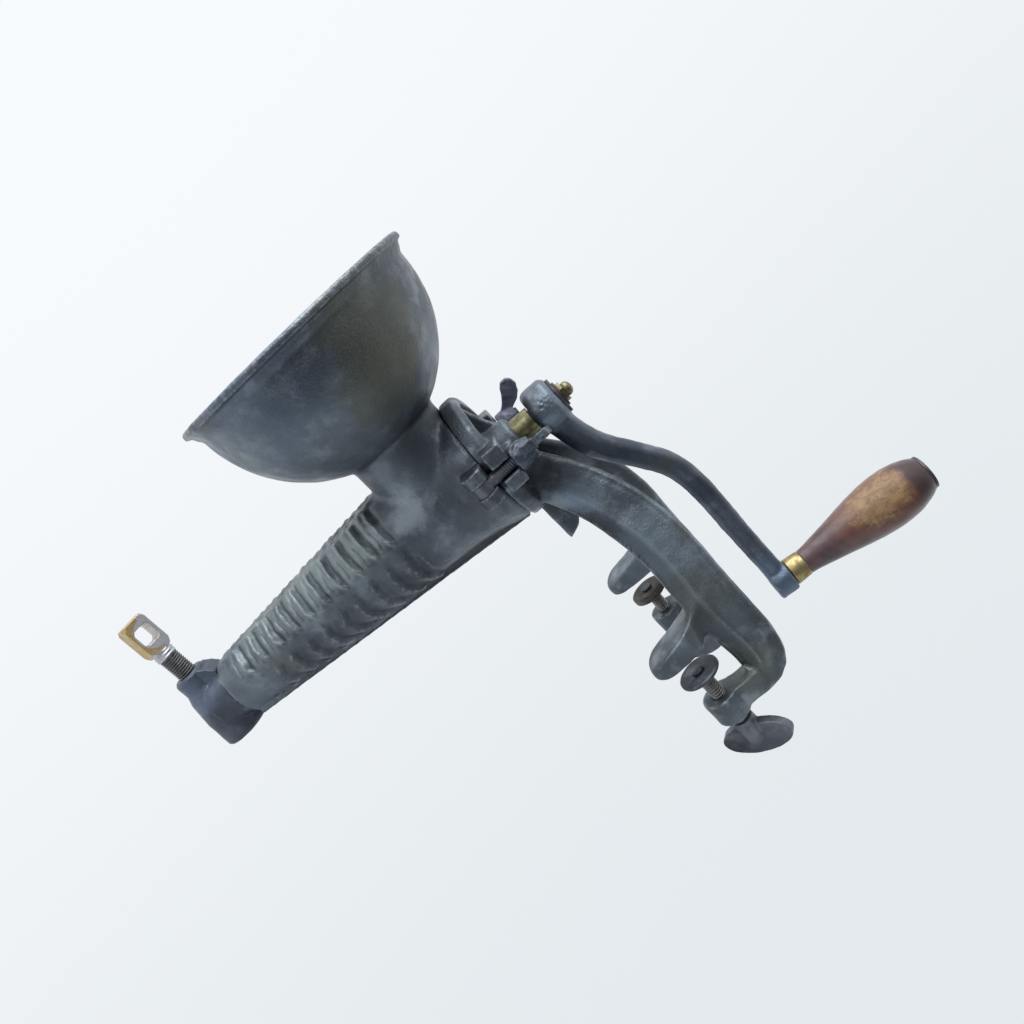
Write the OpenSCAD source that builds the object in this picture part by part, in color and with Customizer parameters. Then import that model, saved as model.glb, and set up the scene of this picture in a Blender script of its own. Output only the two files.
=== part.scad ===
// Hand-cranked screw press with a bowl hopper and a two-legged table clamp.
// Millimetres. +X runs along the shaft to the crank, +Z is up, and the origin
// lies in the plane of the two table jaws, midway between the clamp screws.

/* [Press body] */
// Outer radius of the hopper bowl
bowl_r = 83; // [82:0.5:86]
// Height of the hopper rim above the shaft
rim_h = 142; // [140:1:146]
// Wall thickness of the bowl
bowl_wall = 4; // [3:0.5:5]
// Outer radius of the neck under the bowl
neck_r = 33.5; // [32:0.5:33.5]
// Outer radius of the barrel at its outlet end
barrel_r0 = 22; // [21.5:0.5:23]
// Outer radius of the barrel at its flange end
barrel_r1 = 41; // [40:0.5:42]
// Wall thickness of the barrel
barrel_wall = 5; // [4.5:0.5:5.5]
// Distance from the bowl's axis back to the outlet end
barrel_back = 195; // [190:1:200]
// Number of cast ribs in each row
rib_count = 10; // [6:1:10]
// Distance from one rib to the next
rib_pitch = 14.4; // [14:0.2:14.4]

/* [Stand] */
// Height of the shaft above the table
shaft_h = 161; // [160.5:0.5:161.5]
// Distance from the bowl's axis to the clamp screws
clamp_x = 46; // [45:0.5:47]
// Distance between the two clamp screws
clamp_gap = 139; // [136:1:142]
// Height of the leg's threaded lug
lug_h = 18; // [16:1:19]

/* [Shaft and crank] */
// Distance from the shaft to the handle's pin
crank_r = 203; // [200:1:206]
// Outward lean of the handle in degrees
handle_tilt = 3.7; // [0:0.1:5]
// Length of the wooden grip
grip_l = 99; // [94:1:104]
// Largest radius of the wooden grip
grip_r = 20; // [18:0.5:21]
// Pitch of the auger's flight
auger_pitch = 32; // [28:1:40]

/* [Fasteners] */
// Radius of the clamp screws
screw_r = 5; // [4:0.5:5]
// Radius of the swing bolts
bolt_r = 4; // [3.5:0.25:4]
// Distance from the shaft to each swing bolt
bolt_y = 49.5; // [49.5:0.5:51]
// Radius of the regulating screw
regulator_r = 7; // [6:0.5:7.5]

/* [Hidden] */
$fn = 64;
fit = 0.05;
gap = 0.3;

// Press body, measured from the bowl's axis along the shaft
barrel_front = 34;
flange_r = 44;
bowl_h = rim_h - 12;
rim_r = 87.6;
neck_bore = neck_r - 4.5;
bead_r = 2.6;
pivot_x = 26.8;
ear_r = 8;
ear_t = 8.2;
eye_r = 6.7;
eye_t = 7.6;
swing_pin_r = 2.5;
rib_x = 19.4;
rib_t = 3;
rail_top_w = 30;
rail_w = 25;
slot_w = 12;
slot_back = 180;
slot_front = 12;
strainer_t = 4;

// Outlet nozzle and regulating screw
nozzle_x = -213.5;
nozzle_r = 17.5;
nozzle_drop = 24.5;
nozzle_top = 31;
nozzle_bore = 13;
head_w = 18;
head_t = 13;
head_h = 28;
head_z = 54;
head_turn = 50;

// End plate, bearing and crank
plate_t = 12;
plate_r = 46.5;
boss_r = 14;
boss_x = 60;
fork_x = 51.2;
bush_r = 9;
bush_x = 74;
shaft_r = 6.5;
hub_x = 75;
hub_t = 20;
hub_r = 17.3;
drive_w = 10;
handle_x = 124.5;
pin_r = 4;
grip_x = 19.5;
end_r = 13;
nut_x = 52;
nut_l = 14;

// Clamp
tongue_r = 12.5;
lug_r = 12.5;
lug_top = -196;
pad_r = 14.3;
pad_t = 3.6;
pad_z = -178;
peg_r = 3.5;
wing_z = -238;
wing_w = 25;
wing_h = 13;
wing_t = 6;
wing_turn = -33;

iron = "#4e5961";
dark_iron = "#3a4048";
steel = "#8f9298";
brass = "#a08a52";
wood = "#6b3b2a";
near = -1;
far = 1;

// Outer radius of the barrel's cone at x
function barrel_r(x) = barrel_r0
    + (barrel_r1 - barrel_r0) * (x + barrel_back) / (barrel_back + barrel_front);

// A smooth curve through rows of numbers, with n steps between two rows
function spline(a, b, c, d, t) = 0.5 * (2 * b + (c - a) * t + (2 * a - 5 * b + 4 * c - d) * t * t
    + (3 * b - a - 3 * c + d) * t * t * t);
function curve(rows, n) = [
    for (i = [0 : len(rows) - 2], k = [0 : n - 1])
        spline(rows[max(i - 1, 0)], rows[i], rows[i + 1], rows[min(i + 2, len(rows) - 1)], k / n),
    rows[len(rows) - 1]
];

// Direction of a curve of [x, y, z, width, thickness] rows, seen from the side
function heading(rows, i) =
    let (a = rows[max(i - 1, 0)], b = rows[min(i + 1, len(rows) - 1)],
         d = [b[0] - a[0], b[2] - a[2]])
    d / norm(d);

// One ring of points round each row of the curve
function bar_rings(rows, outline) = [
    for (i = [0 : len(rows) - 1])
        let (row = rows[i], h = heading(rows, i))
        [for (p = outline) [row[0] - h[1] * p[0] * row[3] / 2,
                            row[1] - p[1] * row[4] / 2,
                            row[2] + h[0] * p[0] * row[3] / 2]]
];

// Outline of a round-cornered bar, one unit in half width and half thickness
function soft_outline(n, power) = [
    for (i = [0 : n - 1])
        let (a = 360 * (i + 0.5) / n)
        [sign(cos(a)) * pow(abs(cos(a)), power), sign(sin(a)) * pow(abs(sin(a)), power)]
];

// Solid skin over equal rings of points
module skin(rings) {
    n = len(rings[0]);
    last = (len(rings) - 1) * n;
    polyhedron(points = [for (ring = rings) each ring], faces = [
        [for (i = [0 : n - 1]) i],
        [for (i = [n - 1 : -1 : 0]) last + i],
        for (j = [0 : len(rings) - 2], i = [0 : n - 1])
            each [[j * n + i, (j + 1) * n + i, (j + 1) * n + (i + 1) % n],
                  [j * n + i, (j + 1) * n + (i + 1) % n, j * n + (i + 1) % n]]
    ]);
}

// Everything is drawn with the shaft on X and the bowl's axis at x = 0, then set on the table
module on_table() {
    translate([-clamp_x, 0, shaft_h]) children();
}

// A solid turned about the shaft from [radius, x] points
module turned(outline) {
    rotate([0, 90, 0]) rotate_extrude() polygon(outline);
}

// A cylinder along the shaft from x0 to x1
module along_shaft(r, x0, x1) {
    translate([x0, 0, 0]) rotate([0, 90, 0]) cylinder(r = r, h = x1 - x0);
}

// A flat washer along the shaft
module washer(r, bore, x0, x1) {
    difference() {
        along_shaft(r, x0, x1);
        along_shaft(bore, x0 - 1, x1 + 1);
    }
}

// One row of ribs that hug the barrel between two angles from straight up
module rib_row(from, to) {
    for (i = [0 : rib_count - 1]) {
        x = rib_x - barrel_back + i * rib_pitch;
        r = barrel_r(x);
        rotate([from, 0, 0]) rotate([0, 90, 0]) rotate([0, 0, 180])
            rotate_extrude(angle = to - from)
                polygon([[r - rib_t, x - 4.4], [r + 0.9, x - 3.2], [r + 1.9, x - 1.4], [r + 1.9, x + 1.4],
                         [r + 0.9, x + 3.2], [r - rib_t, x + 4.4]]);
    }
}

// Ears that hold the pin of one swing bolt, seen from above and cut off at the flange's face
module ear_plan(side) {
    reach = barrel_front - pivot_x + ear_r;
    intersection() {
        union() {
            translate([pivot_x, side * bolt_y]) circle(r = ear_r);
            translate([pivot_x - ear_r, side > 0 ? 34 : -bolt_y]) square([reach, bolt_y - 34]);
        }
        translate([pivot_x - ear_r, -bolt_y - ear_r]) square([reach, 2 * (bolt_y + ear_r)]);
    }
}

module barrel_ears() {
    for (side = [near, far], z = [eye_t / 2 + gap, -eye_t / 2 - gap - ear_t])
        translate([0, 0, z]) linear_extrude(ear_t) ear_plan(side);
}

// Lean of the rail along the barrel's underside
rail_lean = atan((barrel_r1 - barrel_r0 + 2.4) / (barrel_back + barrel_front));

// A bar in the rail's direction, from z0 to z1 above the rail's foot
module under_bar(w, x0, x1, z0, z1) {
    translate([-barrel_back, 0, -barrel_r0]) rotate([0, rail_lean, 0])
        translate([x0, -w / 2, z0]) cube([x1 - x0, w, z1 - z0]);
}

// Rail along the barrel's underside, narrower at its foot
module rail() {
    translate([-barrel_back, 0, -barrel_r0]) rotate([0, rail_lean, 0]) translate([2, 0, 0])
        rotate([90, 0, 90]) linear_extrude(barrel_back + barrel_front - 4)
            polygon([[-rail_top_w / 2, 7], [-rail_w / 2, -0.3], [rail_w / 2, -0.3], [rail_top_w / 2, 7],
                     [0, 12]]);
}

module bowl_profile() {
    intersection() {
        circle(r = bowl_r, $fn = 96);
        translate([0, -bowl_r]) square([bowl_r, bowl_r]);
    }
    polygon([[0, 0], [bowl_r, 0], [rim_r, rim_h - bowl_h - bead_r], [0, rim_h - bowl_h - bead_r]]);
}

module press_body() {
    color(iron) on_table() difference() {
        union() {
            turned([[0, -barrel_back], [barrel_r0 - 1.5, -barrel_back],
                    [barrel_r(-barrel_back + 1.5), -barrel_back + 1.5],
                    [barrel_r(-2), -2], [barrel_r(10) + 0.7, 10], [flange_r - 1, barrel_front - 10],
                    [flange_r, barrel_front - 3], [flange_r - 1, barrel_front], [0, barrel_front]]);
            translate([0, 0, barrel_r0]) cylinder(r = neck_r, h = bowl_h - bowl_r + 2);
            translate([0, 0, bowl_h]) rotate_extrude($fn = 96) bowl_profile();
            translate([0, 0, rim_h - bead_r]) rotate_extrude($fn = 96)
                translate([rim_r - 0.6, 0]) circle(r = bead_r, $fn = 24);
            rib_row(25, 73);
            rib_row(-73, -25);
            rib_row(95, 150);
            rib_row(-150, -95);
            rail();
            barrel_ears();
        }
        turned([[0, -barrel_back - 1], [barrel_r0 - barrel_wall, -barrel_back - 1],
                [barrel_r0 - barrel_wall, -barrel_back], [barrel_r1 - barrel_wall, barrel_front],
                [barrel_r1 - barrel_wall, barrel_front + 1], [0, barrel_front + 1]]);
        cylinder(r = neck_bore, h = bowl_h - bowl_r + 12);
        translate([0, 0, bowl_h]) sphere(r = bowl_r - bowl_wall, $fn = 96);
        translate([0, 0, bowl_h]) cylinder(r1 = bowl_r - bowl_wall, r2 = rim_r - bowl_wall,
                                           h = rim_h - bowl_h + 1, $fn = 96);
        under_bar(slot_w, barrel_back - slot_back, barrel_back - slot_front, -9, 9);
        for (side = [near, far])
            translate([pivot_x, side * bolt_y, 0]) {
                cylinder(r = swing_pin_r, h = 40, center = true, $fn = 32);
                cylinder(r = eye_r + gap, h = eye_t + 2 * gap, center = true);
            }
    }
}

// Perforated plate that closes the juice slot
module strainer_plate() {
    color(dark_iron) on_table() difference() {
        under_bar(slot_w, barrel_back - slot_back, barrel_back - slot_front, 0.5, 0.5 + strainer_t);
        translate([-barrel_back, 0, -barrel_r0]) rotate([0, rail_lean, 0])
            for (x = [barrel_back - slot_back + 6 : 6 : barrel_back - slot_front - 4], y = [-3, 3])
                translate([x, y, -4]) cylinder(r = 1.1, h = 12, $fn = 16);
    }
}

module outlet_nozzle() {
    color(dark_iron) on_table() difference() {
        union() {
            translate([nozzle_x, 0, 0]) intersection() {
                rotate_extrude() polygon([
                    [0, -nozzle_drop], [nozzle_r - 1, -nozzle_drop], [nozzle_r, -nozzle_drop + 1.5],
                    [nozzle_r - 0.5, -4], [14.5, 13], [12, 19], [12, nozzle_top - 2],
                    [10.5, nozzle_top], [0, nozzle_top]]);
                translate([-nozzle_r + 1, -30, -40]) cube([60, 60, 80]);
            }
            along_shaft(barrel_r0 - 2.2, nozzle_x, -barrel_back);
            // shoulder that fills in between the screw's collar and the barrel
            translate([-barrel_back, 9, 0]) rotate([90, 0, 0]) linear_extrude(18)
                polygon([[-12, 8], [-12, nozzle_top - 1.5], [-9, nozzle_top - 1.5], [-4, barrel_r0 + 4],
                         [0, barrel_r0 - 1], [0, 8]]);
            along_shaft(barrel_r0 - barrel_wall - 0.2, -barrel_back - 1, -barrel_back + 6);
        }
        along_shaft(nozzle_bore, nozzle_x, -barrel_back + 7);
        translate([nozzle_x, 0, -nozzle_drop - 1]) cylinder(r = nozzle_bore, h = nozzle_drop + 11);
        translate([nozzle_x, 0, 0]) cylinder(r = regulator_r + fit, h = nozzle_top + 1);
    }
}

module regulating_screw() {
    color(steel) on_table() translate([nozzle_x, 0, 0]) {
        translate([0, 0, 6]) cylinder(r = regulator_r, h = head_z - 6);
        translate([0, 0, head_z]) rotate([0, 0, head_turn]) difference() {
            intersection() {
                translate([-head_w / 2, -head_t / 2, 0]) cube([head_w, head_t, head_h]);
                rotate_extrude() polygon([[0, 0], [8.5, 0], [10.8, 4], [10.8, head_h - 3], [9, head_h],
                                          [0, head_h]]);
            }
            translate([0, 0, head_h / 2 + 1]) rotate([90, 0, 0]) linear_extrude(30, center = true)
                intersection() {
                    square(13, center = true);
                    circle(r = 7.7);
                }
        }
    }
}

// Path of one leg: x, distance from the middle, z, width and thickness
leg_rows = [[44, 21, -10, 28, 13], [56.5, 24, -29, 31, 12], [69, 32, -50, 33, 12], [78.5, 43, -76, 35, 12],
            [83, 54, -105, 35, 12], [82.5, 63, -133, 35, 12], [83, 68.5, -160, 34, 12],
            [84, clamp_gap / 2, -184, 31, 13], [80, clamp_gap / 2, -200, 28, 14],
            [69, clamp_gap / 2, -204.5, 22, 16], [56, clamp_gap / 2, -205, 18, 17]];

module leg(side) {
    mirror([0, side == near ? 1 : 0, 0]) skin(bar_rings(curve(leg_rows, 3), soft_outline(12, 0.6)));
}

// Flat-bottomed jaw that rests on the table top and runs in under the leg's outer face
module tongue(side) {
    mirror([0, side == near ? 1 : 0, 0]) intersection() {
        translate([0, clamp_gap / 2 + 20, 0]) rotate([90, 0, 0]) linear_extrude(40)
            polygon([[24, -shaft_h], [61, -shaft_h], [70, -155], [79, -146], [84, -136], [72, -137],
                     [62, -141.5], [48, -145.5], [34, -148], [26.5, -150.5], [24, -153.5]]);
        translate([0, clamp_gap / 2, -shaft_h - 1]) linear_extrude(40) {
            translate([tongue_r + 24, 0]) circle(r = tongue_r);
            polygon([[tongue_r + 24, -tongue_r], [tongue_r + 24, tongue_r], [56, tongue_r - 2], [68, 3],
                     [84, 2], [84, -14], [66, -14]]);
        }
    }
}

module lug(side) {
    translate([0, side * clamp_gap / 2, lug_top - lug_h]) {
        translate([clamp_x, 0, 0]) cylinder(r = lug_r, h = lug_h);
        translate([clamp_x, -9, 2]) cube([28, 18, lug_h - 2]);
    }
}

// Slotted ears that the swing bolts drop into
module fork(side) {
    translate([38, side > 0 ? 34 : -bolt_y - 5.5, -13.5]) cube([fork_x - 38, bolt_y - 28.5, 30]);
}

module fork_slot(side) {
    translate([30, side > 0 ? bolt_y - 5.5 : -bolt_y - 14.5, -bolt_r - 0.6]) cube([30, 20, 2 * bolt_r + 1.2]);
}

module end_plate() {
    turned([[0, barrel_front], [plate_r - 1, barrel_front], [plate_r, barrel_front + 1],
            [plate_r, barrel_front + plate_t - 3], [plate_r - 3, barrel_front + plate_t],
            [plate_r - 8, barrel_front + plate_t], [plate_r - 10, barrel_front + 5],
            [boss_r + 6, barrel_front + 5], [boss_r + 1, barrel_front + 9], [boss_r, boss_x - 2],
            [boss_r - 2, boss_x], [0, boss_x]]);
    for (a = [0 : 3]) rotate([90 * a, 0, 0]) translate([0, 0, 12])
        rotate([90, 0, 0]) linear_extrude(5, center = true)
            polygon([[36, 0], [56, 0], [51, 8], [44, 26], [36, 26]]);
}

// Web between the legs, with a keel that points down
module web() {
    rotate([90, 0, 0]) linear_extrude(6, center = true)
        polygon([[38, -14], [38.5, -78], [49, -74], [64, -56], [66, -40], [58, -22], [50, -12]]);
    skin(bar_rings(curve([[44, 0, -26, 5, 50], [56, 0, -38, 5, 56], [65, 0, -56, 5, 72]], 3),
                   [[1, 1], [-1, 1], [-1, -1], [1, -1]]));
}

module stand() {
    color(iron) on_table() difference() {
        union() {
            end_plate();
            web();
            for (side = [near, far]) {
                fork(side);
                leg(side);
                tongue(side);
                lug(side);
            }
        }
        along_shaft(bush_r, barrel_front - 1, boss_x + 1);
        along_shaft(60, barrel_front - 20, barrel_front);
        for (side = [near, far]) fork_slot(side);
        for (side = [near, far])
            translate([clamp_x, side * clamp_gap / 2, lug_top - lug_h - 1])
                cylinder(r = screw_r + fit, h = lug_h + 2);
    }
}

module bearing_bush() {
    color(brass) on_table() washer(bush_r, shaft_r, barrel_front, bush_x);
}

// One quarter-turn of flight is six steps
flight_step = 15;
flight_x0 = -barrel_back + 10;
flight_x1 = barrel_front - 10;

function flight_rings() = [
    for (a = [0 : flight_step : 360 * (flight_x1 - flight_x0) / auger_pitch])
        let (x = flight_x0 + auger_pitch * a / 360, r = barrel_r(x) - barrel_wall - 1)
        [for (p = [[4, 3], [r, 1.6], [r, -1.6], [4, -3]]) [x + p[1], p[0] * cos(a), p[0] * sin(a)]]
];

module auger() {
    color(steel) on_table() {
        turned([[0, flight_x0 - 4], [5, flight_x0 - 3], [11, flight_x1], [15, flight_x1 + 2],
                [15, barrel_front - 3.3], [shaft_r - fit, barrel_front - 3.3], [shaft_r - fit, hub_x],
                [0, hub_x]]);
        translate([hub_x, -drive_w / 2, -drive_w / 2]) cube([hub_t, drive_w, drive_w]);
        along_shaft(4, hub_x + hub_t, hub_x + hub_t + 8.5);
        skin(flight_rings());
    }
}

module thrust_washer() {
    color(brass) on_table() washer(15, shaft_r, barrel_front - 3.3, barrel_front - gap);
}

// Crank arm: leaves the hub, swings outward and runs straight to the handle
arm_rows = [[84.5, 0, 0, 19, 20], [85.5, 0, -18, 19, 19], [93, 0, -42, 18, 17], [108, 0, -65, 17, 16],
            [120, 0, -86, 16.5, 15.5], [124.5, 0, -112, 16, 15], [124.5, 0, -155, 15, 14],
            [125, 0, -194, 14.5, 14], [125.5, 0, -204, 14, 14]];

// Places things on the handle's own axis, with x measured from the crank's end
module on_handle() {
    translate([handle_x, 0, -crank_r]) rotate([0, handle_tilt, 0]) children();
}

module crank_arm() {
    color(iron) on_table() difference() {
        union() {
            turned([[0, hub_x], [hub_r - 4, hub_x], [hub_r - 1.2, hub_x + 1.2], [hub_r, hub_x + 4],
                    [hub_r, hub_x + hub_t - 3.5], [hub_r - 3, hub_x + hub_t - 0.5],
                    [hub_r - 4, hub_x + hub_t], [0, hub_x + hub_t]]);
            skin(bar_rings(curve(arm_rows, 4), soft_outline(12, 0.8)));
            on_handle() along_shaft(12, -7, 7.4);
        }
        translate([hub_x - 1, -drive_w / 2, -drive_w / 2]) cube([hub_t + 2, drive_w, drive_w]);
        on_handle() along_shaft(pin_r, -20, 20);
    }
}

hub_end = hub_x + hub_t;

module crank_washer() {
    color(dark_iron) on_table() washer(13, 4, hub_end, hub_end + 1.8);
}

module lock_washer() {
    color(dark_iron) on_table() washer(9, 4, hub_end + 1.8, hub_end + 3.2);
}

module crank_nut() {
    color(brass) on_table() difference() {
        translate([hub_end + 3.2, 0, 0]) rotate([0, 90, 0]) cylinder(r = 7, h = 2.6, $fn = 6);
        along_shaft(4, hub_end, hub_end + 9);
    }
}

module cap_nut() {
    color(brass) on_table() difference() {
        turned([[0, hub_end + 5.8], [4.7, hub_end + 5.8], [5, hub_end + 7.4], [4.3, hub_end + 9.4],
                [2.4, hub_end + 10.8], [0, hub_end + 11.2]]);
        along_shaft(4, hub_end + 5, hub_end + 8.5);
    }
}

// Pin that is riveted into the crank and headed outside the grip
module handle_pin() {
    color(steel) on_table() on_handle() {
        along_shaft(pin_r, -7, grip_x + grip_l + 2.4);
        turned([[0, grip_x + grip_l + 2.4], [6, grip_x + grip_l + 2.4], [4.6, grip_x + grip_l + 3.2],
                [0, grip_x + grip_l + 3.6]]);
    }
}

module handle_ferrule() {
    color(brass) on_table() on_handle() difference() {
        turned([[0, 7.8], [9.8, 7.8], [10.1, 8.4], [9.4, grip_x - 0.6], [9.1, grip_x], [0, grip_x]]);
        along_shaft(pin_r + fit, 7, 10.5);
        along_shaft(8.6, 10, grip_x + 1);
    }
}

// Pear shape of the grip: how far along, and how wide
grip_rows = [[0, 0.455], [0.06, 0.49], [0.16, 0.58], [0.3, 0.71], [0.45, 0.86], [0.6, 0.97], [0.71, 1],
             [0.83, 0.96], [0.94, 0.81], [1, 0.66]];

module handle_grip() {
    color(wood) on_table() on_handle() difference() {
        turned([[0, 10], [8.6, 10], [8.6, grip_x],
                for (row = curve(grip_rows, 4)) [row[1] * grip_r, grip_x + row[0] * grip_l],
                [0, grip_x + grip_l]]);
        along_shaft(pin_r + fit, 0, grip_x + grip_l + 1);
    }
}

module handle_washer() {
    color(dark_iron) on_table() on_handle()
        washer(end_r, pin_r + fit, grip_x + grip_l, grip_x + grip_l + 2);
}

module swing_pin(side) {
    half = eye_t / 2 + gap + ear_t + 0.6;
    color(dark_iron) on_table() translate([pivot_x, side * bolt_y, -half])
        cylinder(r = swing_pin_r, h = 2 * half, $fn = 32);
}

module swing_bolt(side) {
    color(steel) on_table() translate([pivot_x, side * bolt_y, 0]) difference() {
        union() {
            translate([0, 0, -eye_t / 2]) cylinder(r = eye_r, h = eye_t);
            along_shaft(bolt_r, 0, nut_x + nut_l + 1.4 - pivot_x);
        }
        translate([0, 0, -10]) cylinder(r = swing_pin_r + fit, h = 20, $fn = 32);
    }
}

// Wing nut, with its wings turned about the bolt by the given angle
module wing_nut(side, turn) {
    color(dark_iron) on_table() translate([0, side * bolt_y, 0]) rotate([turn, 0, 0]) difference() {
        union() {
            turned([[0, nut_x], [8.7, nut_x], [8.7, nut_x + 6], [6.5, nut_x + nut_l],
                    [0, nut_x + nut_l]]);
            for (half = [0, 180]) rotate([half, 0, 0]) translate([nut_x, 0, 0]) rotate([90, 0, 0])
                linear_extrude(5, center = true)
                    polygon([[3, 5], [6, 8.2], [10.5, 12], [14, 16.5], [16, 20.5], [19, 23.4],
                             [23.5, 23.6], [26.6, 21], [27.2, 16.5], [25, 11.5], [20.5, 7.5], [13, 4.5]]);
        }
        along_shaft(bolt_r + fit, fork_x, fork_x + 30);
    }
}

module at_clamp(side) {
    on_table() translate([clamp_x, side * clamp_gap / 2, 0]) children();
}

module clamp_screw(side) {
    color(dark_iron) at_clamp(side) {
        translate([0, 0, wing_z]) cylinder(r = screw_r, h = pad_z - wing_z);
        translate([0, 0, wing_z]) cylinder(r = 7.5, h = 18);
        translate([0, 0, pad_z]) cylinder(r = peg_r, h = pad_t);
        translate([0, 0, pad_z + pad_t]) cylinder(r = peg_r + 0.8, h = 1.4);
        translate([0, 0, wing_z]) rotate([0, 0, wing_turn]) rotate([90, 0, 0])
            linear_extrude(wing_t, center = true)
                polygon([for (a = [0 : 7.5 : 352.5]) [wing_w * cos(a), wing_h * sin(a)]]);
    }
}

module clamp_pad(side) {
    low = side == near ? 0 : -2.4;
    color(side == near ? iron : "#4b453c") at_clamp(side) translate([0, 0, pad_z]) difference() {
        rotate_extrude() polygon([[0, low], [pad_r - 2, low], [pad_r, low + 1], [pad_r, pad_t - 1],
                                  [pad_r - 1.4, pad_t], [0, pad_t]]);
        translate([0, 0, -0.01]) cylinder(r = peg_r + fit, h = 8);
        translate([0, 0, -8]) cylinder(r = screw_r + fit, h = 8);
    }
}

press_body();
strainer_plate();
outlet_nozzle();
regulating_screw();
stand();
bearing_bush();
auger();
thrust_washer();
crank_arm();
crank_washer();
lock_washer();
crank_nut();
cap_nut();
handle_pin();
handle_ferrule();
handle_grip();
handle_washer();
swing_pin(near);  // swing_pin_near
swing_pin(far);  // swing_pin_far
swing_bolt(near);  // swing_bolt_near
swing_bolt(far);  // swing_bolt_far
wing_nut(near, 76);  // wing_nut_near
wing_nut(far, 0);  // wing_nut_far
clamp_screw(near);  // clamp_screw_near
clamp_screw(far);  // clamp_screw_far
clamp_pad(near);  // clamp_pad_near
clamp_pad(far);  // clamp_pad_far
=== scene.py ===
import math

import bmesh
import bpy
import numpy as np
from mathutils import Matrix, Vector


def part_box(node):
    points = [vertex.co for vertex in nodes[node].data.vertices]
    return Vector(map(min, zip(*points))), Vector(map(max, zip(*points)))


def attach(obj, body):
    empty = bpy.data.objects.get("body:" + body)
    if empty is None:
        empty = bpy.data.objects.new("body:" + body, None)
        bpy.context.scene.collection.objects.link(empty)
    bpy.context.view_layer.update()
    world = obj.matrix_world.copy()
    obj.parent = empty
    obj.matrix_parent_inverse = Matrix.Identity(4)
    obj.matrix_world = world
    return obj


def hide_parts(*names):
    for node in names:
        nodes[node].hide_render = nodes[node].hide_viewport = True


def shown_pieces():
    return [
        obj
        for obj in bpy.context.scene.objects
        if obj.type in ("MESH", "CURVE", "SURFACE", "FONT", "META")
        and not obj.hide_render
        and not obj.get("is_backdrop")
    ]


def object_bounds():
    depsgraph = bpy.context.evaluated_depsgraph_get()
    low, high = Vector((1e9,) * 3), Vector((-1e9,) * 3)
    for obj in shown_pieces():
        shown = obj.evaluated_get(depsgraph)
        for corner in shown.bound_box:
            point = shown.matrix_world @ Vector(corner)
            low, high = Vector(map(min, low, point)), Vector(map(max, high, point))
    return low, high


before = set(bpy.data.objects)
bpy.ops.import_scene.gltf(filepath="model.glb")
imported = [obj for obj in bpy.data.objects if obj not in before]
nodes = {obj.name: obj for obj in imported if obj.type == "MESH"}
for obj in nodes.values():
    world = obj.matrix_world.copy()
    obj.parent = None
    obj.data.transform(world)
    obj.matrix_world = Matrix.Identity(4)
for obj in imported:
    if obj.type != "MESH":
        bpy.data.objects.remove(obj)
cad_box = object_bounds()

# Lengths below are millimetres from the shaft's axis and the bowl's axis, as in the CAD,
# and become metres in the row frame here.
MM = 0.001
bush_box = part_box("bearing_bush")
body_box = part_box("press_body")
SHAFT_Z = (bush_box[0].z + bush_box[1].z) / 2
BOWL_X = body_box[1].x - body_box[1].y
ORIGIN = np.array([BOWL_X, 0.0, SHAFT_Z])


def spot(x, y, z):
    """A point of the row frame, from millimetres in the shaft frame."""
    return Vector((BOWL_X + x * MM, y * MM, SHAFT_Z + z * MM))


# ---------------------------------------------------------------- mesh helpers

def new_object(name, data):
    made = bpy.data.objects.new(name, data)
    bpy.context.scene.collection.objects.link(made)
    return made


def mesh_from(name, points, faces):
    mesh = bpy.data.meshes.new(name)
    mesh.from_pydata([tuple(p) for p in points], [], faces)
    mesh.update()
    return mesh


def band_faces(rows, count, first=0, closed=False, flipped=False):
    """Faces between rows of points that each go once round, with count points to a row."""
    faces = []
    for j in range(rows if closed else rows - 1):
        near = first + j * count
        far = first + (j + 1) % rows * count
        for i in range(count):
            after = (i + 1) % count
            if flipped:
                faces.append((near + i, near + after, far + after, far + i))
            else:
                faces.append((near + i, far + i, far + after, near + after))
    return faces


def copy_of(name, *node_names, extra=()):
    """A new object that holds copies of CAD nodes' meshes and of other meshes."""
    shell = bmesh.new()
    for node in node_names:
        shell.from_mesh(nodes[node].data)
    for mesh in extra:
        shell.from_mesh(mesh)
    bmesh.ops.remove_doubles(shell, verts=shell.verts, dist=1e-6)
    mesh = bpy.data.meshes.new(name)
    shell.to_mesh(mesh)
    shell.free()
    return new_object(name, mesh)


def get_points(obj):
    flat = np.empty(len(obj.data.vertices) * 3, np.float32)
    obj.data.vertices.foreach_get("co", flat)
    return flat.reshape(-1, 3).astype(float)


def get_normals(obj):
    flat = np.empty(len(obj.data.vertices) * 3, np.float32)
    obj.data.vertex_normals.foreach_get("vector", flat)
    return flat.reshape(-1, 3)


def set_points(obj, points):
    obj.data.vertices.foreach_set("co", points.astype(np.float32).ravel())
    obj.data.update()


def in_shaft_frame(points):
    return (points - ORIGIN) / MM


def in_row_frame(points):
    return points * MM + ORIGIN


def edge_list(obj):
    flat = np.empty(len(obj.data.edges) * 2, np.int32)
    obj.data.edges.foreach_get("vertices", flat)
    return flat.reshape(-1, 2)


def neighbour_mean(points, edges):
    """The mean place of each point's neighbours."""
    a, b = edges.T
    count = len(points)
    degree = np.maximum(np.bincount(edges.ravel(), minlength=count), 1)
    total = [np.bincount(a, points[b, k], count) + np.bincount(b, points[a, k], count) for k in range(3)]
    return np.stack(total, 1) / degree[:, None]


DRAW_IN = 0.5
PUSH_OUT = 0.52


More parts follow.
